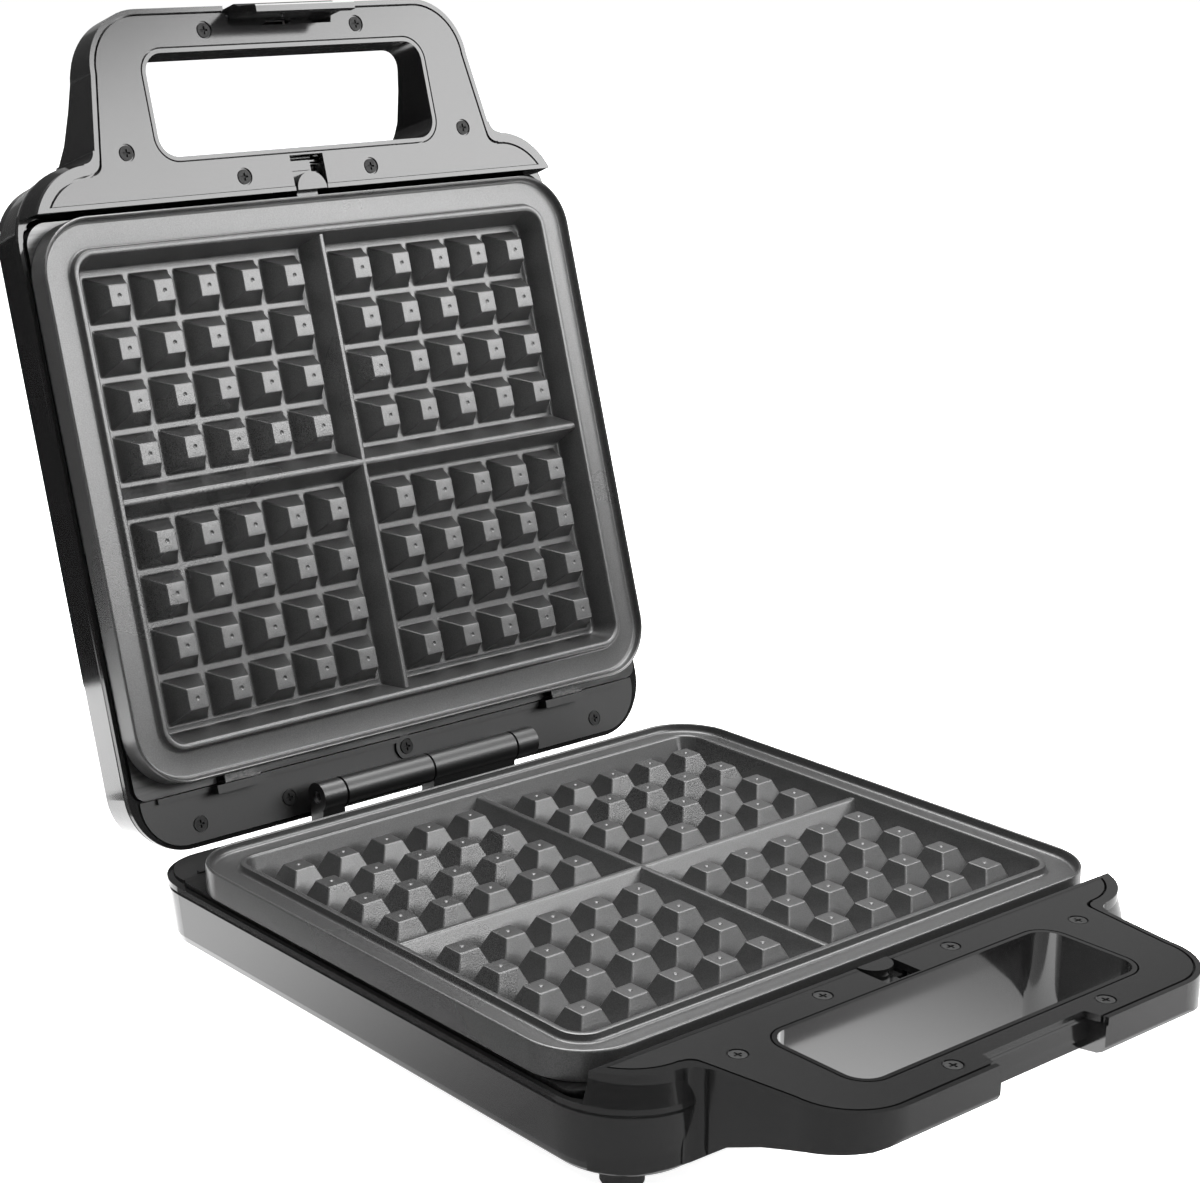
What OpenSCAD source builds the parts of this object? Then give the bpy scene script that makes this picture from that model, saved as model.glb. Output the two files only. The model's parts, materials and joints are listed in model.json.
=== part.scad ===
// Waffle maker: two hinged housings, each with a lift-out grid plate, an open
// tubular heater under it, a pull handle, a sliding plate release and, on the
// lid, a sprung latch that hooks into the base handle.
// Millimetres, +Z up, feet on z = 0, the handles toward -Y.
// Both halves are drawn as one "half": origin at the plate's centre, z = 0 at
// the tips of the pins, z rising toward the other plate.

/* [Opening] */
// angle from closed to the open rest position, degrees
open_angle = 107.13; // [100:0.01:107.2]
// clear distance between the facing pin tips when closed
tip_gap = 4; // [3:0.5:6]

/* [Casing] */
// half width over the casing lip
case_hx = 128.4; // [128.2:0.1:129]
// wall thickness of the housings near their outer edge
wall = 2.5; // [2:0.1:3]
// height of the rubber feet below the base
foot_h = 6.4; // [5:0.1:9]
// corner radius of the finger opening in the handles
grip_r = 8; // [6:0.5:10]

/* [Grid plate] */
// side of each pin at its foot
pin_foot = 17.3; // [16.5:0.1:18]
// side of each pin at its tip
pin_tip = 8.5; // [7:0.1:10]
// depth of the grid below the pin tips
grid_depth = 10; // [9:0.1:10.5]
// height of the plate's outer rim above the pin tips
rim_h = 1.5; // [1.2:0.1:1.5]
// height of the inner ridge above the pin tips
ridge_h = 1.0; // [0.6:0.1:1.3]

/* [Heater] */
// radius of the tubular element
tube_r = 3.2; // [2.8:0.1:3.2]

/* [Hinge] */
// outer radius of the knuckles
knuckle_r = 5.8; // [5:0.1:6]
// radius of the hinge pin
pin_r = 2.5; // [2:0.1:3]

/* [Output] */
// sub-part to draw

/* [Hidden] */
$fn = 64;

body_bot = -36.6;             // underside of a housing
foot_z = body_bot - foot_h;   // floor level in half coordinates
origin_y = -25.0;             // puts the open box's middle on y = 0
hinge_y = 124.3;              // hinge axis behind the plate's centre
hinge_z = tip_gap / 2;
lip_z = -10.8;                // top of the casing lip
top_z = -0.5;                 // top of the handle plateau
deck_hx = 126;                // half width of the deck
deck_z = -9;                  // top of the sheet-metal deck
front_c = [99, -98.5];        // centres of the front and rear corner arcs
rear_c = [104.6, 108.6];
front_r = case_hx - front_c[0];
rear_r = case_hx - rear_c[0];
trim_t = 2.5;
ledge_z = top_z - trim_t - 0.05;
floor_z = -grid_depth;
pitch = 20;
first = 16.6;
basin = [112.3, 92.7];        // crest edge of the basin
slope = 4.6;                  // how far the basin wall leans in
basin_r = 8;
plate_h = [127, 107];         // half size of the plate
plate_r = 22;
plate_under = floor_z - 2.2;
latch_y = -179.7;             // latch pivot in lid coordinates
latch_z = -5;

// plastic and metal colours
c_shell = [0.07, 0.07, 0.08];
c_trim = [0.12, 0.12, 0.13];
c_plate = [0.23, 0.23, 0.24];
c_steel = [0.72, 0.73, 0.74];
c_tube = [0.42, 0.41, 0.40];
c_ceramic = [0.86, 0.84, 0.78];
c_rubber = [0.1, 0.1, 0.1];
c_lens = [0.85, 0.1, 0.08];

// ---- placing the two halves ----
module in_base() translate([0, origin_y, -foot_z]) children();
module in_lid() translate([0, origin_y, -foot_z])
    translate([0, hinge_y, hinge_z]) rotate([-open_angle, 0, 0]) translate([0, -hinge_y, -hinge_z])
        translate([0, 0, tip_gap]) mirror([0, 0, 1]) children();

// ---- plane outlines ----
// rectangle |x| < hx between y0 and y1 with front radius r0 and rear radius r1
module pad2(hx, y0, y1, r0, r1) {
    translate([-(hx - r0), y0]) square([2 * (hx - r0), r0]);
    translate([-hx, y0 + r0]) square([2 * hx, y1 - y0 - r0 - r1]);
    translate([-(hx - r1), y1 - r1]) square([2 * (hx - r1), r1]);
    for (s = [-1, 1]) {
        translate([s * (hx - r0), y0 + r0]) circle(r0);
        translate([s * (hx - r1), y1 - r1]) circle(r1);
    }
}
module pad(hx, y0, y1, r0, r1, z0, z1)
    translate([0, 0, z0]) linear_extrude(z1 - z0) pad2(hx, y0, y1, r0, r1);

// handle plateau seen from above: d drawn in from the outer edge, e at the shoulders
module handle2(d, e) {
    translate([-66.5, -183.4 + d]) square([133, 73.9 - d]);
    for (s = [-1, 1]) {
        translate([s * 66.5, -159.6]) circle(23.8 - d);
        intersection() {
            translate([s * 99, -99]) circle(27 - e);
            translate([-140, -140]) square([280, 30.5]);
        }
        difference() {
            translate([s * (97.6 - d) - 3, -131 + e]) square([6, 9]);
            translate([s * (100.4 - d), -131 + e]) circle(4.6);
        }
    }
    polygon([[-(90.3 - d), -159.6], [90.3 - d, -159.6], [95.8 - d, -126], [95.8 - d, -109.5],
        [-(95.8 - d), -109.5], [-(95.8 - d), -126]]);
    translate([-99, -126 + e]) square([198, 16.5 - e]);
}
// a shape drawn in the (y, z) plane and carried across |x| < hx
module across(hx, pts) translate([-hx, 0, 0]) rotate([90, 0, 90]) linear_extrude(2 * hx) polygon(pts);

// ---- the housing bowl ----
function ring_pts(p, r) = concat([[0, p[0][1]]], [for (q = p) [r + q[0], q[1]]],
    [[0, p[len(p) - 1][1]]]);
function both_pts(p, h) = concat([for (q = p) [h + q[0], q[1]]],
    [for (i = [len(p) - 1:-1:0]) [-(h + p[i][0]), p[i][1]]]);
function edge_pts(p, a, b, s) = concat([for (q = p) [b + s * q[0], q[1]]],
    [[a, p[len(p) - 1][1]], [a, p[0][1]]]);
module bowl(p) {
    y0 = front_c[1];
    y1 = rear_c[1];
    translate([front_c[0], y0, 0]) rotate([0, 0, -90]) rotate_extrude(angle = 90)
        polygon(ring_pts(p, front_r));
    translate([-front_c[0], y0, 0]) rotate([0, 0, 180]) rotate_extrude(angle = 90)
        polygon(ring_pts(p, front_r));
    translate([rear_c[0], y1, 0]) rotate_extrude(angle = 90) polygon(ring_pts(p, rear_r));
    translate([-rear_c[0], y1, 0]) rotate([0, 0, 90]) rotate_extrude(angle = 90)
        polygon(ring_pts(p, rear_r));
    translate([0, y1, 0]) rotate([90, 0, 0]) linear_extrude(y1 - y0) polygon(both_pts(p, case_hx));
    across(front_c[0], edge_pts(p, y0, y0 - front_r, -1));
    across(rear_c[0], edge_pts(p, y1, y1 + rear_r, 1));
}
skin = [[0, lip_z], [0, -12.7], [-0.45, -13.3], [-0.2, -13.9], [-2.4, -31], [-3.4, -33.6],
    [-5.6, -35.7], [-8.7, body_bot]];
inside = [[-5, -14.4], [-2.4 - wall, -30], [-8.5, body_bot + 2.4]];

handle_screw_xy = [[36.5, -174.3], [81.4, -129.3], [30.7, -116.7]];
rear_screw_xy = [[100, 124], [58.8, 123], [0, 115.2]];

module grip_hole(g, z0, z1) pad(66.3 + g, -166.3 - g, -126.4 + g, grip_r + g, grip_r + g, z0, z1);

// cone that brings a shoulder of the handle out to the body's corner
module shoulder(s) intersection() {
    translate([s * front_c[0], front_c[1], lip_z])
        cylinder(r1 = front_r, r2 = 26.5, h = top_z - lip_z);
    translate([-140, -140, lip_z]) cube([280, 30.5, 20]);
}

// hollow of the handle between its skin, the finger opening and the body
module handle_hollow() difference() {
    intersection() {
        translate([0, 0, -34]) linear_extrude(34 + ledge_z) handle2(4.2, 6.4);
        across(122, [[-179.2, ledge_z + 1], [-179.2, -10.2], [-165, -12.9], [-150, -16.9],
            [-138, -21.4], [-129, -28.4], [-121, -31], [-111.8, -31], [-111.8, ledge_z + 1]]);
    }
    grip_hole(3.6, -40, 0);
    for (s = [-1, 1], p = handle_screw_xy) translate([s * p[0], p[1], -40]) cylinder(r = 4, h = 40);
    for (s = [-1, 1]) translate([s * 30.7 - 1.2, -124, -40]) cube([2.4, 8, 40]);
    // guide block of the plate release
    translate([-13, -124, -40]) cube([26, 14, 40]);
    // block behind the latch notch
    translate([-31, -184, -40]) cube([62, 16, 40]);
}

// notch in the middle of the handle's front edge, the same in both halves
module front_notch() {
    translate([0, 0, ledge_z]) linear_extrude(10) polygon([[-26, -190], [26, -190], [26, -182],
        [24.2, -175.3], [-24.2, -175.3], [-26, -182]]);
    across(25, [[-190, 1], [-176.3, 1], [-176.3, -0.5], [-177, -7.5], [-177, -9], [-174, -9],
        [-174, -20], [-190, -20]]);
}

module housing(closed) difference() {
    union() {
        bowl(skin);
        intersection() {
            translate([0, 0, -33.5]) linear_extrude(33.5 + top_z) handle2(0, 0);
            across(130, [[-183.4, top_z + 1], [-183.4, -10.4], [-182.5, -12.2], [-180.5, -13.2],
                [-165, -15.5], [-150, -19.5], [-138, -24], [-127, -32.2], [-121, -33.4],
                [-109.5, -33.4], [-109.5, top_z + 1]]);
        }
        for (s = [-1, 1]) shoulder(s);
    }
    bowl(inside);
    // seats of the deck and of the rear trim
    pad(deck_hx + 0.25, -109.5, 110.6, 8, 5, -14.45, 5);
    rear_seat();
    // seat of the handle trim
    difference() {
        translate([0, 0, ledge_z]) linear_extrude(5) difference() {
            handle2(1.9, 3.9);
            translate([-130, -111.2]) square([260, 20]);
        }
        grip_hole(1.6, -20, 10);
    }
    handle_hollow();
    grip_hole(0, -60, 10);
    // channel of the plate release
    translate([-7.75, -124.4, -7.9]) cube([15.5, 16, 12]);
    // pocket of the release spring
    translate([6, -124.4, -6.6]) cube([6.4, 8.4, 12]);
    front_notch();
    if (closed) {
        // lid: room for the latch lever and holes for its pin
        across(25, [[-190, 1], [-172, 1], [-172, -11.2], [-174, -20], [-190, -20]]);
        translate([-30, latch_y, latch_z]) rotate([0, 90, 0]) cylinder(r = 1.25, h = 60);
        for (s = [-1, 1]) translate([s * 12, -60, body_bot - 1]) cylinder(r = 4.1, h = 6);
    } else {
        // base: opening under the cover, screw holes, stem holes and cord hole
        pad(88, -88, 92, 12, 12, body_bot - 1, body_bot + 5);
        for (p = cover_xy) translate([p[0], p[1], body_bot - 1]) cylinder(r = 1.55, h = 5);
        for (s = [-1, 1], y = [-108, 106]) translate([s * (y < 0 ? 108 : 106), y, body_bot - 1])
            cylinder(r = 3.05, h = 5);
        translate([80, 140, -24]) rotate([90, 0, 0]) cylinder(r = 6.1, h = 16);
        translate([80, 140, -24]) rotate([90, 0, 0]) cylinder(r = 8.3, h = 10.6);
    }
    for (s = [-1, 1], p = handle_screw_xy) translate([s * p[0], p[1], ledge_z - 9])
        cylinder(r = 1.52, h = 10);
    for (s = [-1, 1], p = rear_screw_xy) translate([s * p[0], p[1], -20]) cylinder(r = 1.52, h = 10);
}
cover_xy = [[-93, -60], [93, -60], [-93, 70], [93, 70], [0, -93], [0, 97]];

module rear2(g) intersection() {
    union() {
        translate([-106, 110.9 - g]) square([212, 19.6 + 2 * g]);
        for (s = [-1, 1]) translate([s * 106, 112.4]) circle(18.1 + g);
    }
    translate([-130, 110.9 - g]) square([260, 30]);
}
module rear_seat() translate([0, 0, -12.6]) linear_extrude(10) rear2(0.2);

// ---- parts shared by both halves ----
module screw_head(x, y, z) {
    difference() {
        union() {
            translate([x, y, z - 1.5]) cylinder(r1 = 1.5, r2 = 2.9, h = 1.1);
            translate([x, y, z - 0.4]) cylinder(r = 2.9, h = 0.4);
        }
        for (a = [0, 90]) translate([x, y, z]) rotate([0, 0, a]) cube([3.2, 0.8, 1.6], center = true);
    }
    translate([x, y, z - 9]) cylinder(r = 1.5, h = 7.6);
}
module handle_trim() difference() {
    translate([0, 0, top_z - trim_t]) linear_extrude(trim_t) difference() {
        handle2(2.75, 4.75);
        translate([-130, -111.4]) square([260, 20]);
        pad2(68.5, -168.5, -124.2, grip_r + 2.2, grip_r + 2.2);
        translate([-8, -123.5]) square([16, 20]);
        polygon([[-26, -190], [26, -190], [26, -182], [24.2, -175.3], [-24.2, -175.3], [-26, -182]]);
    }
    for (s = [-1, 1], p = handle_screw_xy) translate([s * p[0], p[1], 0]) {
        translate([0, 0, top_z - 0.6]) cylinder(r = 3.5, h = 2);
        translate([0, 0, top_z - 1.7]) cylinder(r1 = 1.6, r2 = 3.05, h = 1.2);
        translate([0, 0, -10]) cylinder(r = 1.6, h = 12);
    }
}
module handle_screws() for (s = [-1, 1], p = handle_screw_xy)
    screw_head(s * p[0], p[1], top_z - 0.15);

module deck() {
    difference() {
        union() {
            difference() {
                pad(deck_hx, -107.5, 110.5, 9, 5, -14.4, deck_z);
                pad(deck_hx - 1, -106.5, 109.5, 8, 4, -15, deck_z - 1);
            }
            pad(119.6, -100.6, 100.6, 9, 9, -24, deck_z);
        }
        pad(118.6, -99.6, 99.6, 8, 8, -23, 0);
        // slots for the heater's cold ends and a hole over the thermostat
        for (s = [-1, 1]) translate([s * 16, 66, -30]) cylinder(r = 3, h = 12);
        translate([0, 0, -30]) cylinder(r = 6, h = 12);
        for (s = [-1, 1], i = [-2:2]) translate([s * 50 - 1.5, i * 22 - 6, -30]) cube([3, 12, 12]);
    }
}

// trapezoid teeth at the pin positions, n each side, from z0 to the tips
function teeth(n) = concat([[-pitch * (n + 1), floor_z - 1]],
    [for (k = [0:2 * n - 1]) let (c = k < n ? -(first + pitch * (n - 1 - k)) : first + pitch * (k - n))
        each [[c - pin_foot / 2, floor_z - 1], [c - pin_foot / 2, floor_z], [c - pin_tip / 2, 0],
            [c + pin_tip / 2, 0], [c + pin_foot / 2, floor_z], [c + pin_foot / 2, floor_z - 1]]],
    [[pitch * (n + 1), floor_z - 1], [pitch * (n + 1), floor_z - 1.5], [-pitch * (n + 1), floor_z - 1.5]]);

module grid_plate() {
    cx = basin[0] - basin_r;
    cy = basin[1] - basin_r;
    difference() {
        union() {
            difference() {
                pad(plate_h[0], -plate_h[1], plate_h[1], plate_r, plate_r, deck_z + 0.05, rim_h);
                pad(125.4, -105.4, 105.4, 20.4, 20.4, -2, 5);
                pad(124.8, -104.8, 104.8, 19.8, 19.8, -20, -4.2);
            }
            pad(114.4, -95.2, 95.2, 10.1, 10.1, plate_under, ridge_h);
        }
        // basin with leaning walls
        translate([0, 0, floor_z]) for (s = [-1, 1], t = [-1, 1]) translate([s * cx, t * cy, 0])
            cylinder(r1 = basin_r - slope, r2 = basin_r + slope * 0.3, h = grid_depth * 1.3);
        intersection() {
            across(cx, [[-(basin[1] - slope), floor_z], [basin[1] - slope, floor_z],
                [basin[1] + slope * 0.3, grid_depth * 0.3], [-(basin[1] + slope * 0.3), grid_depth * 0.3]]);
            translate([0, 0, 0]) cube([400, 400, 60], center = true);
        }
        translate([0, cy, 0]) rotate([90, 0, 0]) linear_extrude(2 * cy)
            polygon([[-(basin[0] - slope), floor_z], [basin[0] - slope, floor_z],
                [basin[0] + slope * 0.3, grid_depth * 0.3], [-(basin[0] + slope * 0.3), grid_depth * 0.3]]);
        // notches for the release tongue in front and the clips behind
        translate([-6.2, -108, -7.2]) cube([12.4, 3.3, 3.6]);
        for (s = [-1, 1]) translate([s * 82 - 8.5, 105.3, -6.2]) cube([17, 3, 3.2]);
    }
    intersection() {
        translate([0, 83.9, 0]) rotate([90, 0, 0]) linear_extrude(2 * 83.9) polygon(teeth(5));
        across(103.9, teeth(4));
    }
    // dividers of the four wells
    intersection() {
        union() {
            across(130, [[-6.1, floor_z - 0.5], [-6.1, floor_z], [-1.5, -0.7], [1.5, -0.7],
                [6.1, floor_z], [6.1, floor_z - 0.5]]);
            translate([0, 130, 0]) rotate([90, 0, 0]) linear_extrude(260) polygon([
                [-6.1, floor_z - 0.5], [-6.1, floor_z], [-1.5, -0.7], [1.5, -0.7],
                [6.1, floor_z], [6.1, floor_z - 0.5]]);
        }
        pad(113.4, -93.8, 93.8, 9, 9, plate_under, 0);
    }
}

heat_z = plate_under - 0.1 - tube_r;
module bend(x, y, a) translate([x, y, heat_z]) rotate([0, 0, a]) rotate_extrude(angle = 90)
    translate([22, 0]) circle(tube_r);
module heater() {
    for (s = [-1, 1]) translate([s * 82, 44, heat_z]) rotate([90, 0, 0]) cylinder(r = tube_r, h = 88);
    translate([-60, -66, heat_z]) rotate([0, 90, 0]) cylinder(r = tube_r, h = 120);
    for (s = [-1, 1]) {
        translate([s > 0 ? 16 : -60, 66, heat_z]) rotate([0, 90, 0]) cylinder(r = tube_r, h = 44);
        translate([s * 16, 66, heat_z]) sphere(tube_r);
        translate([s * 16, 66, -30]) cylinder(r = 2, h = 30 + heat_z);
    }
    bend(60, 44, 0);
    bend(-60, 44, 90);
    bend(-60, -44, 180);
    bend(60, -44, 270);
}
module heater_clip() difference() {
    translate([-4, -6, -22.95]) cube([8, 12, 7]);
    translate([-5, 0, heat_z]) rotate([0, 90, 0]) cylinder(r = tube_r + 0.05, h = 10);
}
module heater_clips() {
    for (s = [-1, 1]) {
        translate([s * 38, -66, 0]) heater_clip();
        translate([s * 38, 66, 0]) heater_clip();
        translate([s * 82, 0, 0]) rotate([0, 0, 90]) heater_clip();
    }
}

// knuckle between x0 and x1 on its web
module knuckle(x0, x1) difference() {
    union() {
        translate([x0, hinge_y, hinge_z]) rotate([0, 90, 0]) cylinder(r = knuckle_r, h = x1 - x0);
        translate([x0, hinge_y - 4, -11]) cube([x1 - x0, 8, 11 + hinge_z]);
    }
    translate([x0 - 1, hinge_y, hinge_z]) rotate([0, 90, 0]) cylinder(r = pin_r + 0.05, h = x1 - x0 + 2);
}
module rear_trim(x0, x1, x2, x3) {
    difference() {
        union() {
            translate([0, 0, -12.5]) linear_extrude(2.5) rear2(0);
            translate([-117, 110.9, -10.5]) cube([234, 1.9, 2]);
            for (s = [-1, 1]) translate([s * 82 - 11, 110.9, -10.5]) cube([22, 3.2, 6.3]);
            translate([0, 115.2, -12.4]) cylinder(r = 5, h = 3.4);
        }
        for (s = [-1, 1], p = rear_screw_xy) translate([s * p[0], p[1], 0]) {
            translate([0, 0, p[0] == 0 ? -10.2 : -11.4]) cylinder(r1 = 1.6, r2 = 3.05, h = 1.2);
            translate([0, 0, p[0] == 0 ? -9.1 : -10.3]) cylinder(r = 3.3, h = 4);
            translate([0, 0, -20]) cylinder(r = 1.6, h = 20);
        }
    }
    knuckle(x0, x1);
    knuckle(x2, x3);
}
module rear_screws() {
    for (s = [-1, 1], i = [0, 1]) screw_head(s * rear_screw_xy[i][0], rear_screw_xy[i][1], -9.8);
    screw_head(0, rear_screw_xy[2][1], -8.6);
}

// sprung sheet hooks that hold the plate's back edge
module plate_clips() for (s = [-1, 1]) translate([s * 82, 0, 0]) {
    translate([-8, 107.9, deck_z]) cube([16, 2.5, 0.8]);
    translate([-8, 109.5, deck_z]) cube([16, 0.9, 6.2]);
    translate([-7, 106.2, -5.2]) cube([14, 4.2, 0.9]);
}

// sliding release: tongue at the back, thumb button on top
module release() {
    difference() {
        translate([-7, -121.6, -7.85]) cube([14, 12, 4]);
        translate([3.4, -121, -7]) cube([4, 4, 6]);
    }
    translate([-5, -110, -6.3]) cube([10, 4.3, 1.8]);
    intersection() {
        translate([0, -109.6, -4]) cylinder(r = 7, h = 3.9);
        translate([-8, -118, -5]) cube([16, 8.4, 6]);
    }
    translate([-7, -121.6, -4]) cube([9.5, 3.9, 0.8]);
}
// torsion spring: coil on its post, one leg into the release
module release_spring() {
    difference() {
        translate([9.9, -118.8, -6.5]) cylinder(r = 2, h = 3);
        translate([9.9, -118.8, -7]) cylinder(r = 1.1, h = 4);
    }
    translate([4.4, -120.3, -5.6]) rotate([0, 90, 0]) cylinder(r = 0.4, h = 5.2);
}

module thermostat() {
    translate([0, 0, -26.1]) cylinder(r = 14, h = 2);
    translate([0, 0, -32]) cylinder(r = 9, h = 6);
    translate([0, 0, -24.2]) cylinder(r = 5.6, h = 6);
    for (s = [-1, 1]) translate([s * 5 - 2.5, -12, -31]) cube([5, 8, 0.8]);
}

// ---- base pieces ----
module base_shell() color(c_shell) in_base() housing(false);
module bottom_cover() color(c_trim) in_base() difference() {
    pad(97, -97, 101, 16, 16, body_bot - 1.6, body_bot - 0.02);
    for (p = cover_xy) translate([p[0], p[1], body_bot - 3]) cylinder(r = 1.6, h = 5);
    for (i = [-4:4], s = [-1, 1]) translate([s * 40 - 16, i * 14 - 2, body_bot - 3]) cube([32, 4, 5]);
}
module cover_screws() color(c_steel) in_base() for (p = cover_xy) translate([p[0], p[1], 0]) {
    difference() {
        translate([0, 0, body_bot - 3.2]) cylinder(r = 3, h = 1.58);
        for (a = [0, 90]) translate([0, 0, body_bot - 3.2]) rotate([0, 0, a])
            cube([3.2, 0.8, 1.4], center = true);
    }
    translate([0, 0, body_bot - 2]) cylinder(r = 1.5, h = 6);
}
module feet() color(c_rubber) in_base() for (s = [-1, 1], y = [-108, 106])
    translate([s * (y < 0 ? 108 : 106), y, 0]) {
        translate([0, 0, foot_z]) cylinder(r1 = 6.4, r2 = 7, h = 1);
        translate([0, 0, foot_z + 1]) cylinder(r = 7, h = foot_h - 1.02);
        translate([0, 0, body_bot - 0.5]) cylinder(r = 3, h = 5);
    }
module base_handle_trim() color(c_trim) in_base() handle_trim();
module base_handle_screws() color(c_steel) in_base() handle_screws();
module base_deck() color(c_steel) in_base() deck();
module base_plate() color(c_plate) in_base() grid_plate();
module base_heater() color(c_tube) in_base() heater();
module base_heater_clips() color(c_steel) in_base() heater_clips();
module base_rear_trim() color(c_shell) in_base() rear_trim(-54, -43.5, 0.5, 42.5);
module base_rear_screws() color(c_steel) in_base() rear_screws();
module base_plate_clips() color(c_steel) in_base() plate_clips();
module base_catch() color(c_trim) in_base() release();
module base_catch_spring() color(c_steel) in_base() release_spring();
module base_thermostat() color(c_ceramic) in_base() thermostat();
module thermal_fuse() color(c_steel) in_base() {
    translate([-14, 30, -27.1]) rotate([0, 90, 0]) cylinder(r = 3, h = 28);
    for (s = [-1, 1]) translate([s * 19 - 7, 30, -27.1]) rotate([0, 90, 0]) cylinder(r = 0.6, h = 14);
}
module terminal_block() color(c_ceramic) in_base() difference() {
    translate([20, 104, body_bot + 2.42]) cube([36, 14, 11]);
    for (i = [0:2]) translate([26 + 12 * i, 111, body_bot + 6]) cylinder(r = 2.6, h = 12);
    for (i = [0:2]) translate([26 + 12 * i, 122, body_bot + 9]) rotate([90, 0, 0]) cylinder(r = 1.8, h = 22);
}
module cord_gland() color(c_rubber) in_base() translate([80, 0, -24]) rotate([-90, 0, 0]) difference() {
    union() {
        translate([0, 0, 122]) cylinder(r = 8, h = 3);
        translate([0, 0, 122]) cylinder(r = 6, h = 9);
        translate([0, 0, 129.6]) cylinder(r = 8, h = 2.6);
    }
    translate([0, 0, 120]) cylinder(r = 3.5, h = 20);
}
module hinge_pin() color(c_steel) in_base() translate([-53, hinge_y, hinge_z]) rotate([0, 90, 0])
    difference() {
        cylinder(r = pin_r, h = 106);
        translate([0, 0, -1]) cylinder(r = pin_r - 1, h = 108);
    }

// ---- lid pieces ----
module lid_shell() color(c_shell) in_lid() housing(true);
module lid_handle_trim() color(c_trim) in_lid() handle_trim();
module lid_handle_screws() color(c_steel) in_lid() handle_screws();
module lid_deck() color(c_steel) in_lid() deck();
module lid_plate() color(c_plate) in_lid() grid_plate();
module lid_heater() color(c_tube) in_lid() heater();
module lid_heater_clips() color(c_steel) in_lid() heater_clips();
module lid_rear_trim() color(c_shell) in_lid() rear_trim(-42.5, -0.5, 43.5, 54);
module lid_rear_screws() color(c_steel) in_lid() rear_screws();
module lid_plate_clips() color(c_steel) in_lid() plate_clips();
module lid_catch() color(c_trim) in_lid() release();
module lid_catch_spring() color(c_steel) in_lid() release_spring();
module lid_thermostat() color(c_ceramic) in_lid() thermostat();
module lamp_holder() color(c_ceramic) in_lid() difference() {
    translate([-20, -67, body_bot + 2.42]) cube([40, 14, 4]);
    for (s = [-1, 1]) translate([s * 12, -60, body_bot]) cylinder(r = 4.2, h = 8);
}
module lamp_lenses() color(c_lens) in_lid() for (s = [-1, 1]) translate([s * 12, -60, 0]) {
    translate([0, 0, body_bot - 0.5]) cylinder(r = 4, h = 6);
}
module latch() color(c_shell) in_lid() difference() {
    union() {
        across(23.5, [[-182.9, -11.6], [-182.9, 3.6], [-181.3, 6.4], [-178.9, 17.6], [-178.3, 18],
            [-176, 18], [-175.7, 17.4], [-175.7, 15], [-177.4, 13.6], [-177.5, 2], [-176.6, -2],
            [-176.6, -8], [-179, -11.6]]);
    }
    translate([-30, latch_y, latch_z]) rotate([0, 90, 0]) cylinder(r = 1.25, h = 60);
    // room for the spring's coil
    across(6, [[-184 + 1.8, -9], [-184 + 1.8, -1], [-170, -1], [-170, -9]]);
}
module latch_pin() color(c_steel) in_lid() translate([-29, latch_y, latch_z]) rotate([0, 90, 0])
    cylinder(r = 1.2, h = 58);
module latch_spring() color(c_steel) in_lid() {
    translate([-5, latch_y, latch_z]) rotate([0, 90, 0]) difference() {
        cylinder(r = 2.1, h = 10);
        translate([0, 0, -1]) cylinder(r = 1.25, h = 12);
    }
    translate([5 - 0.5, latch_y + 1.6, latch_z]) rotate([-90, 0, 0]) cylinder(r = 0.4, h = 6);
}

base_shell();
bottom_cover();
cover_screws();
feet();
base_handle_trim();
base_handle_screws();
base_deck();
base_plate();
base_heater();
base_heater_clips();
base_rear_trim();
base_rear_screws();
base_plate_clips();
base_catch();
base_catch_spring();
base_thermostat();
thermal_fuse();
terminal_block();
cord_gland();
hinge_pin();
lid_shell();
lid_handle_trim();
lid_handle_screws();
lid_deck();
lid_plate();
lid_heater();
lid_heater_clips();
lid_rear_trim();
lid_rear_screws();
lid_plate_clips();
lid_catch();
lid_catch_spring();
lid_thermostat();
lamp_holder();
lamp_lenses();
latch();
latch_pin();
latch_spring();
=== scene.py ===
"""Waffle maker, open: camera, studio, procedural materials and the finely shaped pieces.

Lengths in the shape functions are millimetres in "half" coordinates: origin at a grid
plate's centre, z = 0 at its pin tips and rising toward the other plate.
"""
import bisect
import json
import math

import bmesh
import bpy
from mathutils import Matrix, Vector


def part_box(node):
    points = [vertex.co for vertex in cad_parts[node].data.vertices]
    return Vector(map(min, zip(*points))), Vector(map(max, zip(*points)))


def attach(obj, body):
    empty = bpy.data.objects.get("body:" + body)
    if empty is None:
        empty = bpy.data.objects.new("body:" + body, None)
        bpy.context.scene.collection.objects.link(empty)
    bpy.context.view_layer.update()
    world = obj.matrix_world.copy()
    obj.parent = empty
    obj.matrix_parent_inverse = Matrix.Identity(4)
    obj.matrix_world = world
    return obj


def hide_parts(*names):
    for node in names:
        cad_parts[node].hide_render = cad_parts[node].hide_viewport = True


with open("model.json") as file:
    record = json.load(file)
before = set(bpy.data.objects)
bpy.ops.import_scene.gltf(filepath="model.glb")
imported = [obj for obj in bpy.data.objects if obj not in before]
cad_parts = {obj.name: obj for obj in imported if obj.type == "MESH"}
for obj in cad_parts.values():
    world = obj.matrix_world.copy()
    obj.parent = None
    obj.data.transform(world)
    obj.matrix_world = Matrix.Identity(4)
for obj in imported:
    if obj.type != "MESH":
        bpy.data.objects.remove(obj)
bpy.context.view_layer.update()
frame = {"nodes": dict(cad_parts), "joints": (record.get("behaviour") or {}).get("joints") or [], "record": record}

# ---------------------------------------------------------------- places from the frame
MM = 0.001
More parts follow.
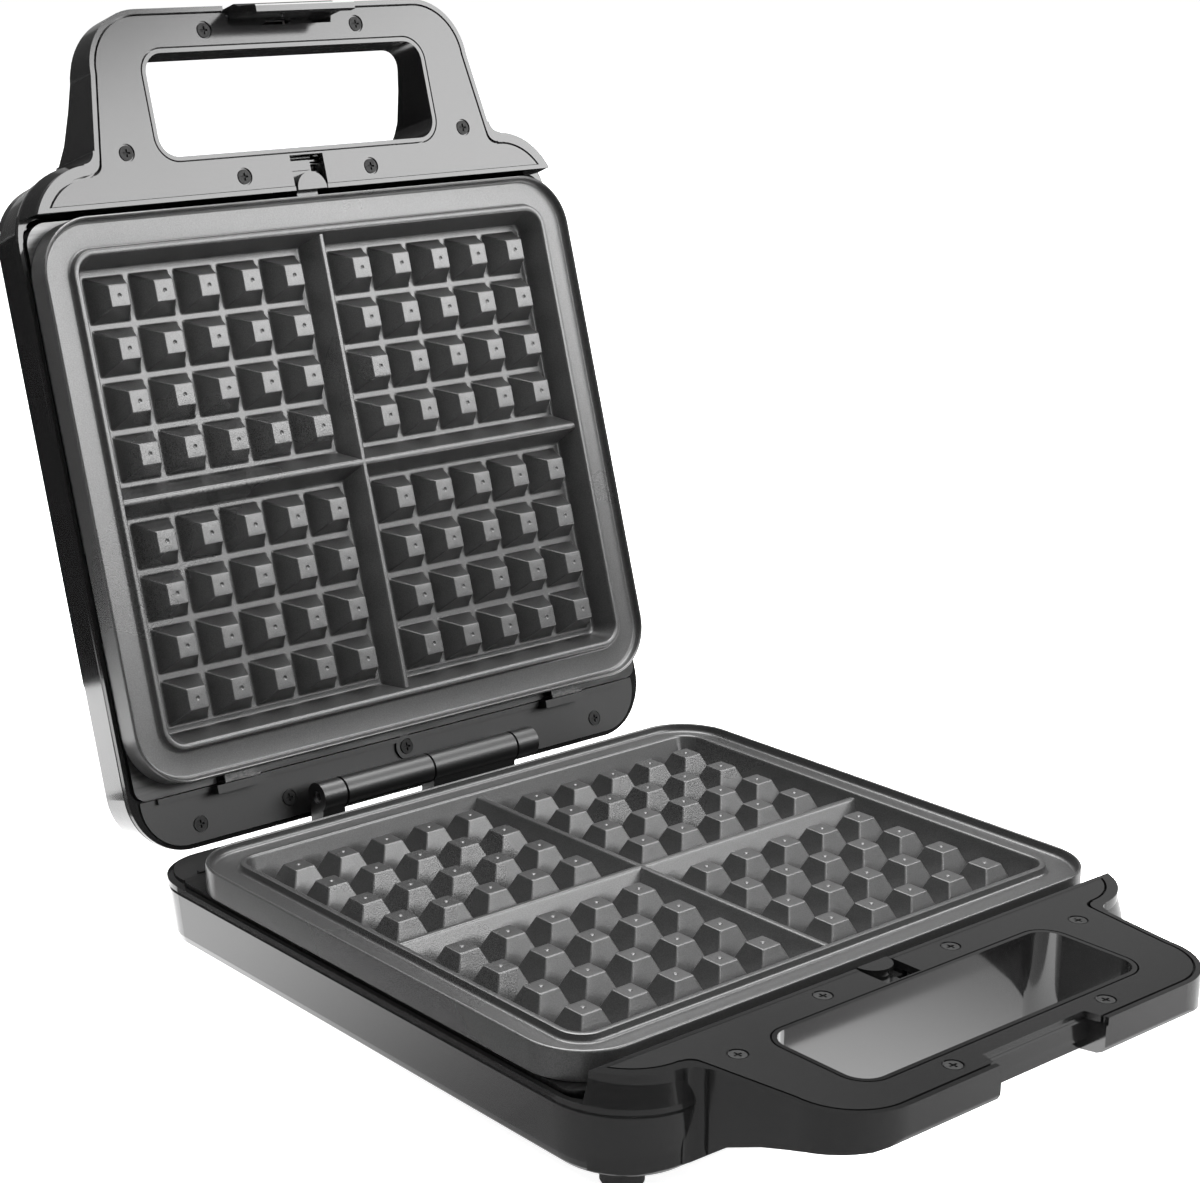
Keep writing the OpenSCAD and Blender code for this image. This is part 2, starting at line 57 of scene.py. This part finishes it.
PLATE_LOW, PLATE_HIGH = (Vector(v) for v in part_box("base_plate"))
RIM_H = 1.5                                   # plate rim above the pin tips
HALF_ORIGIN = Vector(((PLATE_LOW.x + PLATE_HIGH.x) / 2, (PLATE_LOW.y + PLATE_HIGH.y) / 2,
                      PLATE_HIGH.z - RIM_H * MM))
JOINTS = {j["name"]: j for j in frame["joints"]}
HINGE = Vector(JOINTS["lid_hinge"]["pos_m"])
OPEN_ANGLE = math.radians(JOINTS["lid_hinge"]["range_deg"][1])
TIP_GAP = 2 * (HINGE.z - HALF_ORIGIN.z)
BASE = Matrix.Translation(HALF_ORIGIN) @ Matrix.Scale(MM, 4)
LID = (Matrix.Translation(HINGE) @ Matrix.Rotation(-OPEN_ANGLE, 4, "X") @ Matrix.Translation(-HINGE)
       @ Matrix.Translation(HALF_ORIGIN + Vector((0, 0, TIP_GAP)))
       @ Matrix.Diagonal((MM, MM, -MM, 1)))

# ---------------------------------------------------------------- camera
CAM_PLACE = (-0.5739, -0.6284, 0.3759)
CAM_AZIMUTH = 37.70
CAM_DOWN = 15.98
CAM_ROLL = 0.425
CAM_LENS = 73.98
CAM_SENSOR = 36
CAM_SHIFT = (0.1642, 0.0153)
cam_data = bpy.data.cameras.new("camera")
cam_data.sensor_width = CAM_SENSOR
cam_data.lens = CAM_LENS
cam_data.shift_x, cam_data.shift_y = CAM_SHIFT
camera = bpy.data.objects.new("camera", cam_data)
bpy.context.collection.objects.link(camera)
camera.matrix_world = (Matrix.Translation(CAM_PLACE)
                       @ Matrix.Rotation(math.radians(-CAM_AZIMUTH), 4, "Z")
                       @ Matrix.Rotation(math.radians(90 - CAM_DOWN), 4, "X")
                       @ Matrix.Rotation(math.radians(-CAM_ROLL), 4, "Z"))
bpy.context.scene.camera = camera


# ---------------------------------------------------------------- materials
COAT_ROUGHNESS = 0.06
GRAIN_BAND = (0.35, 0.65)                     # part of the fine noise that the colours span
SMUDGE_BAND = (0.3, 0.7)                      # part of the broad noise that the roughness spans
BUMP_DEPTH = 0.0001


def ramp(nodes, stops):
    node = nodes.new("ShaderNodeValToRGB")
    el = node.color_ramp.elements
    while len(el) < len(stops):
        el.new(0.5)
    for e, (pos, value) in zip(el, stops):
        e.position = pos
        e.color = (*value, 1) if isinstance(value, tuple) else (value, value, value, 1)
    return node


def surface(name, dark, light, rough, grain, bump, metallic=0.0, smudge=6.0, coat=0.0, specular=0.5,
            stretch=(1, 1, 1), glow=0.0):
    """A procedural surface: fine grain in colour and bump, broad smudges in roughness."""
    mat = bpy.data.materials.new(name)
    mat.use_nodes = True
    nodes, links = mat.node_tree.nodes, mat.node_tree.links
    shader = nodes["Principled BSDF"]
    shader.inputs["Metallic"].default_value = metallic
    shader.inputs["Specular IOR Level"].default_value = specular
    shader.inputs["Coat Weight"].default_value = coat
    shader.inputs["Coat Roughness"].default_value = COAT_ROUGHNESS
    shader.inputs["Emission Color"].default_value = (1, 1, 1, 1)
    shader.inputs["Emission Strength"].default_value = glow
    coords = nodes.new("ShaderNodeTexCoord")
    scale = nodes.new("ShaderNodeMapping")
    scale.inputs["Scale"].default_value = stretch
    links.new(coords.outputs["Object"], scale.inputs["Vector"])
    fine = nodes.new("ShaderNodeTexNoise")
    fine.inputs["Scale"].default_value = grain
    fine.inputs["Detail"].default_value = 3.0
    links.new(scale.outputs["Vector"], fine.inputs["Vector"])
    colour = ramp(nodes, list(zip(GRAIN_BAND, (dark, light))))
    links.new(fine.outputs["Fac"], colour.inputs["Fac"])
    links.new(colour.outputs["Color"], shader.inputs["Base Color"])
    broad = nodes.new("ShaderNodeTexNoise")
    broad.inputs["Scale"].default_value = smudge
    broad.inputs["Detail"].default_value = 5.0
    links.new(coords.outputs["Object"], broad.inputs["Vector"])
    low, high = rough
    roughness = nodes.new("ShaderNodeMapRange")
    roughness.inputs["From Min"].default_value = SMUDGE_BAND[0]
    roughness.inputs["From Max"].default_value = SMUDGE_BAND[1]
    roughness.inputs["To Min"].default_value = low
    roughness.inputs["To Max"].default_value = high
    links.new(broad.outputs["Fac"], roughness.inputs["Value"])
    links.new(roughness.outputs["Result"], shader.inputs["Roughness"])
    if bump:
        relief = nodes.new("ShaderNodeBump")
        relief.inputs["Strength"].default_value = bump
        relief.inputs["Distance"].default_value = BUMP_DEPTH
        links.new(fine.outputs["Fac"], relief.inputs["Height"])
        links.new(relief.outputs["Normal"], shader.inputs["Normal"])
    return mat


LOOKS = {
    "gloss_black": surface("gloss_black", 0.004, 0.006, (0.08, 0.12), 900, 0.02),
    "satin_black": surface("satin_black", 0.005, 0.007, (0.14, 0.19), 1400, 0.05),
    "rear_black": surface("rear_black", 0.004, 0.006, (0.30, 0.40), 1600, 0.10),
    "rubber_black": surface("rubber_black", 0.010, 0.018, (0.65, 0.8), 1200, 0.4),
    "nonstick_plate": surface("nonstick_plate", 0.010, 0.034, (0.26, 0.31), 2600, 0.45, specular=0.68),
    "deck_sheet": surface("deck_sheet", 0.06, 0.09, (0.24, 0.34), 700, 0.10, metallic=1.0,
                          stretch=(0.06, 1, 1)),
    "heater_tube": surface("heater_tube", 0.10, 0.17, (0.4, 0.55), 800, 0.2, metallic=0.9),
    "ceramic": surface("ceramic", 0.58, 0.66, (0.5, 0.7), 900, 0.2),
    "lens_red": surface("lens_red", (0.35, 0.008, 0.006), (0.42, 0.012, 0.008), (0.06, 0.12), 300, 0.0,
                        coat=0.5),
    "plain_steel": surface("plain_steel", 0.35, 0.50, (0.28, 0.4), 900, 0.12, metallic=1.0),
    "dark_screw": surface("dark_screw", 0.008, 0.016, (0.45, 0.55), 900, 0.1, specular=0.16),
    "clip_steel": surface("clip_steel", 0.05, 0.11, (0.28, 0.38), 900, 0.1, metallic=0.9),
    "studio_floor": surface("studio_floor", 0.80, 0.82, (0.7, 0.8), 60, 0.0, glow=0.9),
}
SLOTS = {s["node"]: s["material_slot"] for s in frame["record"]["subparts"]}
SPECIAL = {"base_rear_trim": "rear_black", "lid_rear_trim": "rear_black",
           "base_handle_screws": "dark_screw", "lid_handle_screws": "dark_screw",
           "base_rear_screws": "dark_screw", "lid_rear_screws": "dark_screw",
           "base_plate_clips": "clip_steel", "lid_plate_clips": "clip_steel"}
EDGE_ROUND = {"base_shell": 0.7, "lid_shell": 0.7, "base_handle_trim": 0.35, "lid_handle_trim": 0.35,
              "base_deck": 0.25, "lid_deck": 0.25, "base_rear_trim": 0.35, "lid_rear_trim": 0.35,
              "latch": 0.35, "base_catch": 0.25, "lid_catch": 0.25, "base_plate_clips": 0.15,
              "lid_plate_clips": 0.15, "bottom_cover": 0.3, "hinge_pin": 0.2, "cord_gland": 0.4}
EDGE_STEPS = 3
EDGE_ANGLE = 40                               # edges sharper than this are rounded, degrees


def dress(node):
    """Gives a CAD node its look and its edge rounding."""
    obj = bpy.data.objects[node]
    look = LOOKS[SPECIAL.get(node, SLOTS[node])]
    obj.data.materials.clear()
    obj.data.materials.append(look)
    if node in EDGE_ROUND:
        bevel = obj.modifiers.new("edges", "BEVEL")
        bevel.width = EDGE_ROUND[node] * MM
        bevel.segments = EDGE_STEPS
        bevel.limit_method = "ANGLE"
        bevel.angle_limit = math.radians(EDGE_ANGLE)
        bevel.harden_normals = False


for node in frame["nodes"]:
    dress(node)


# ---------------------------------------------------------------- mesh helpers
def make_piece(name, verts, faces, matrix, body, look, record_slot, replaced, angle):
    """A piece in half coordinates, placed by its matrix, that stands in for CAD nodes."""
    mesh = bpy.data.meshes.new(name)
    mesh.from_pydata([matrix @ Vector(v) for v in verts], [], faces)
    bm = bmesh.new()
    bm.from_mesh(mesh)
    bmesh.ops.recalc_face_normals(bm, faces=bm.faces)
    bm.to_mesh(mesh)
    bm.free()
    mesh.shade_smooth()
    mesh.set_sharp_from_angle(angle=math.radians(angle))
    obj = bpy.data.objects.new(name, mesh)
    bpy.context.collection.objects.link(obj)
    mesh.materials.append(LOOKS[look])
    even = obj.modifiers.new("even_shading", "WEIGHTED_NORMAL")
    even.keep_sharp = True
    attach(obj, body)
    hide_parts(*replaced)
    return obj


def ring(profile, centre, steps=14):
    """Sweeps a closed (radius, z) profile round a rounded rectangle about corner centres."""
    verts, faces = [], []
    turns = []
    for k, (sx, sy) in enumerate(((1, 1), (-1, 1), (-1, -1), (1, -1))):
        for i in range(steps + 1):
            a = math.pi / 2 * (k + i / steps)
            turns.append((sx * centre[0], sy * centre[1], math.cos(a), math.sin(a)))
    n = len(profile)
    for x, y, c, s in turns:
        verts += [(x + r * c, y + r * s, z) for r, z in profile]
    for t in range(len(turns)):
        u = (t + 1) % len(turns)
        for i in range(n):
            j = (i + 1) % n
            faces.append((t * n + i, t * n + j, u * n + j, u * n + i))
    return verts, faces


# ---------------------------------------------------------------- grid plate
PITCH = 20.0
FIRST = 16.6
PIN_COUNT = (5, 4)                              # each side of the dividers, across and along
FLOOR = -10.0
UNDER = -12.2
CORNER = (105.0, 85.0)                          # centres of all the plate's corner arcs
PLATE_SECTION = [
    (1.2, FLOOR), (2.9, FLOOR), (3.4, -9.7), (3.75, -9.1), (7.1, 0.2), (7.35, 0.75), (7.8, 1.0),
    (9.0, 1.0), (9.4, 0.8), (9.6, 0.3), (9.75, -0.9), (10.1, -1.6), (10.9, -2.0), (19.2, -2.0),
    (20.0, -1.75), (20.5, -1.1), (20.7, -0.2), (20.8, 0.95), (20.95, 1.3), (21.25, 1.48),
    (21.6, 1.42), (21.88, 1.1), (21.98, 0.6), (22.0, -8.75), (21.85, -8.92), (20.2, -8.92),
    (19.9, -4.4), (10.0, -4.4), (9.6, UNDER), (1.2, UNDER)]
# pin section: (half width, corner radius, z), tip to foot
PIN_LEVELS = [(3.82, 0.30, 0.0), (4.06, 0.42, -0.05), (4.22, 0.5, -0.19), (4.33, 0.55, -0.42),
              (8.46, 0.85, -9.5), (8.6, 0.9, -9.75), (8.86, 1.0, -9.94), (9.3, 1.1, -10.04),
              (9.4, 1.1, -10.3)]
DIMPLE = [(0.95, 0.0), (0.82, -0.07), (0.62, -0.3), (0.32, -0.46)]
# divider section: (half width, z)
DIVIDER = [(0.0, -0.7), (0.55, -0.7), (0.85, -0.78), (1.1, -0.96), (1.28, -1.22), (1.5, -1.66),
           (5.3, -9.2), (5.55, -9.62), (5.95, -9.9), (6.5, FLOOR)]


def on_line(x, points):
    """Piecewise linear through (x, z) points."""
    xs = [p[0] for p in points]
    i = min(max(bisect.bisect_right(xs, x), 1), len(points) - 1)
    (x0, z0), (x1, z1) = points[i - 1], points[i]
    t = min(max((x - x0) / (x1 - x0), 0), 1)
    return z0 + (z1 - z0) * t


def divider_slab(reach_x, reach_y):
    """The grid's floor with its two crossing dividers."""
    widths = [w for w, z in DIVIDER]
    xs = sorted({s * w for w in widths + [reach_x] for s in (-1, 1)})
    ys = sorted({s * w for w in widths + [reach_y] for s in (-1, 1)})
    nx, ny = len(xs), len(ys)
    verts = [(x, y, on_line(min(abs(x), abs(y)), DIVIDER)) for y in ys for x in xs]
    faces = []
    for j in range(ny - 1):
        for i in range(nx - 1):
            a, b, c, d = j * nx + i, j * nx + i + 1, (j + 1) * nx + i + 1, (j + 1) * nx + i
            if abs(verts[a][2] - verts[c][2]) > abs(verts[b][2] - verts[d][2]):
                faces += [(a, b, c), (a, c, d)]
            else:
                faces += [(a, b, d), (b, c, d)]
    edge = ([i for i in range(nx)] + [j * nx + nx - 1 for j in range(1, ny)]
            + [(ny - 1) * nx + i for i in range(nx - 2, -1, -1)] + [j * nx for j in range(ny - 2, 0, -1)])
    low = {}
    for v in edge:
        low[v] = len(verts)
        verts.append((verts[v][0], verts[v][1], UNDER + 0.2))
    for a, b in zip(edge, edge[1:] + edge[:1]):
        faces.append((b, a, low[a], low[b]))
    faces.append(tuple(low[v] for v in edge))
    return verts, faces


def square_loop(half, radius, z, turn=4):
    """A rounded square, five points to a corner and three to a side."""
    out = []
    reach = half - radius
    for k in range(4):
        quarter = math.pi / 2 * k
        c, s = math.cos(quarter), math.sin(quarter)
        corner = [(reach + radius * math.cos(math.pi / 2 * i / turn),
                   reach + radius * math.sin(math.pi / 2 * i / turn)) for i in range(turn + 1)]
        side = [(reach * t, half) for t in (0.5, 0.0, -0.5)]
        out += [(x * c - y * s, x * s + y * c, z) for x, y in corner + side]
    return out


def round_loop(radius, z, count=32):
    """A circle whose points match those of square_loop one to one."""
    turns = [math.pi / 4 + (i - 2) * math.tau / count for i in range(count)]
    return [(radius * math.cos(t), radius * math.sin(t), z) for t in turns]


def pin(x, y):
    """A square pin with rounded edges and a dimple in its tip."""
    loops = [round_loop(r, z) for r, z in reversed(DIMPLE)] + [square_loop(*level) for level in PIN_LEVELS]
    n = len(loops[0])
    verts = [(x + px, y + py, pz) for loop in loops for px, py, pz in loop]
    faces = [(k * n + i, (k + 1) * n + i, (k + 1) * n + (i + 1) % n, k * n + (i + 1) % n)
             for k in range(len(loops) - 1) for i in range(n)]
    faces += [tuple(range(n)), tuple((len(loops) - 1) * n + i for i in reversed(range(n)))]
    return verts, faces


def join(*parts):
    """One list of vertices and faces from several."""
    verts, faces = [], []
    for v, f in parts:
        start = len(verts)
        verts += v
        faces += [tuple(i + start for i in face) for face in f]
    return verts, faces


SHARP = 40                                      # edges sharper than this stay crisp, degrees
SLAB_OVER = 6.5                                 # the slab's reach past the corner centres
PIN_PLACES = [[s * (FIRST + PITCH * k) for k in range(n) for s in (-1, 1)] for n in PIN_COUNT]
PLATE = join(ring(PLATE_SECTION, CORNER), divider_slab(CORNER[0] + SLAB_OVER, CORNER[1] + SLAB_OVER),
             *[pin(x, y) for x in PIN_PLACES[0] for y in PIN_PLACES[1]])
for half, matrix in (("base", BASE), ("lid", LID)):
    make_piece(f"{half}_grid_plate", *PLATE, matrix, half, "nonstick_plate", "nonstick_plate",
               (f"{half}_plate",), SHARP)

# ---------------------------------------------------------------- studio
# floor cards: (name, x span, y span, height, direction, distances, radiance at each distance)
CARDS = (
    ("card_beyond", (-16, 16), (0.40, 20), 0.0016, (0, 1), (0, 1), (0.03, 0.02)),
    ("card_front", (-1.5, 1.8), (-3.0, -0.085), 0.0008, (1, 0), (-0.17, 0.28), (0.55, 1.7)),
    ("card_left_far", (-1.5, -0.160), (-0.085, 0.26), 0.0008, (0, 1), (-0.10, 0.12), (0.2, 0.3)),
    ("card_left", (-0.160, -0.10), (-0.085, 0.26), 0.0008, (0, 1), (-0.10, 0.12), (0.6, 3.3)),
    ("card_grip", (-0.05, 0.14), (-0.20, -0.115), 0.0014, (1, 0), (-0.05, 0.13), (5.5, 1.5)),
)
# softboxes: (name, place, aimed at, width, height, radiance)
LID_MIDDLE = (0, 0.14, 0.2)
LIGHTS = (
    ("key", (1.05, -1.3, 0.93), LID_MIDDLE, 1.7, 0.58, 11.0),
    ("overhead", (0, 0, 2.4), (0, 0, 0), 5.0, 5.0, 3.0),
    ("fill", (1.6, 2.2, 0.6), (0, 0, 0.05), 2.5, 1.5, 0.25),
    ("edges", (0.2, 0.3, 1.6), (0, 0, 0), 1.4, 1.4, 9.0),
)
EDGE_LIGHT = "edges"                            # bright lines along rounded edges only
WORLD_LIGHT = 0.15
FLOOR_REACH = 30.0


def plane(name, corners, look):
    mesh = bpy.data.meshes.new(name)
    mesh.from_pydata(corners, [], [(0, 1, 2, 3)])
    mesh.materials.append(look)
    obj = bpy.data.objects.new(name, mesh)
    bpy.context.collection.objects.link(obj)
    return obj


plane("floor", [(-FLOOR_REACH, -FLOOR_REACH, 0), (FLOOR_REACH, -FLOOR_REACH, 0),
                (FLOOR_REACH, FLOOR_REACH, 0), (-FLOOR_REACH, FLOOR_REACH, 0)],
      LOOKS["studio_floor"])


def floor_card(name, x, y, z, along, span, radiance):
    """A card on the floor seen only in glossy reflections; its light runs from one value to the
    other between two distances measured along a direction."""
    mat = bpy.data.materials.new(name)
    mat.use_nodes = True
    nodes, links = mat.node_tree.nodes, mat.node_tree.links
    nodes.remove(nodes["Principled BSDF"])
    coords = nodes.new("ShaderNodeTexCoord")
    dot = nodes.new("ShaderNodeVectorMath")
    dot.operation = "DOT_PRODUCT"
    dot.inputs[1].default_value = (*along, 0)
    links.new(coords.outputs["Object"], dot.inputs[0])
    level = nodes.new("ShaderNodeMapRange")
    level.interpolation_type = "SMOOTHSTEP"
    level.inputs["From Min"].default_value, level.inputs["From Max"].default_value = span
    level.inputs["To Min"].default_value, level.inputs["To Max"].default_value = radiance
    links.new(dot.outputs["Value"], level.inputs["Value"])
    glow = nodes.new("ShaderNodeEmission")
    links.new(level.outputs["Result"], glow.inputs["Strength"])
    links.new(glow.outputs["Emission"], nodes["Material Output"].inputs["Surface"])
    obj = plane(name, [(x[0], y[0], z), (x[1], y[0], z), (x[1], y[1], z), (x[0], y[1], z)], mat)
    obj.visible_camera = obj.visible_diffuse = obj.visible_shadow = False


for card in CARDS:
    floor_card(*card)

world = bpy.data.worlds.new("studio")
world.use_nodes = True
world.node_tree.nodes["Background"].inputs["Color"].default_value = (1, 1, 1, 1)
world.node_tree.nodes["Background"].inputs["Strength"].default_value = WORLD_LIGHT
bpy.context.scene.world = world
bpy.context.scene.view_settings.view_transform = "Standard"


def softbox(name, place, target, width, height, radiance):
    """A rectangular lamp of the given radiance, aimed at a point."""
    data = bpy.data.lights.new(name, "AREA")
    data.shape = "RECTANGLE"
    data.size, data.size_y = width, height
    data.energy = radiance * math.pi * width * height
    obj = bpy.data.objects.new(name, data)
    bpy.context.collection.objects.link(obj)
    obj.location = place
    obj.rotation_euler = (Vector(target) - Vector(place)).to_track_quat("-Z", "Y").to_euler()


for light in LIGHTS:
    softbox(*light)
bpy.data.lights[EDGE_LIGHT].diffuse_factor = 0.0
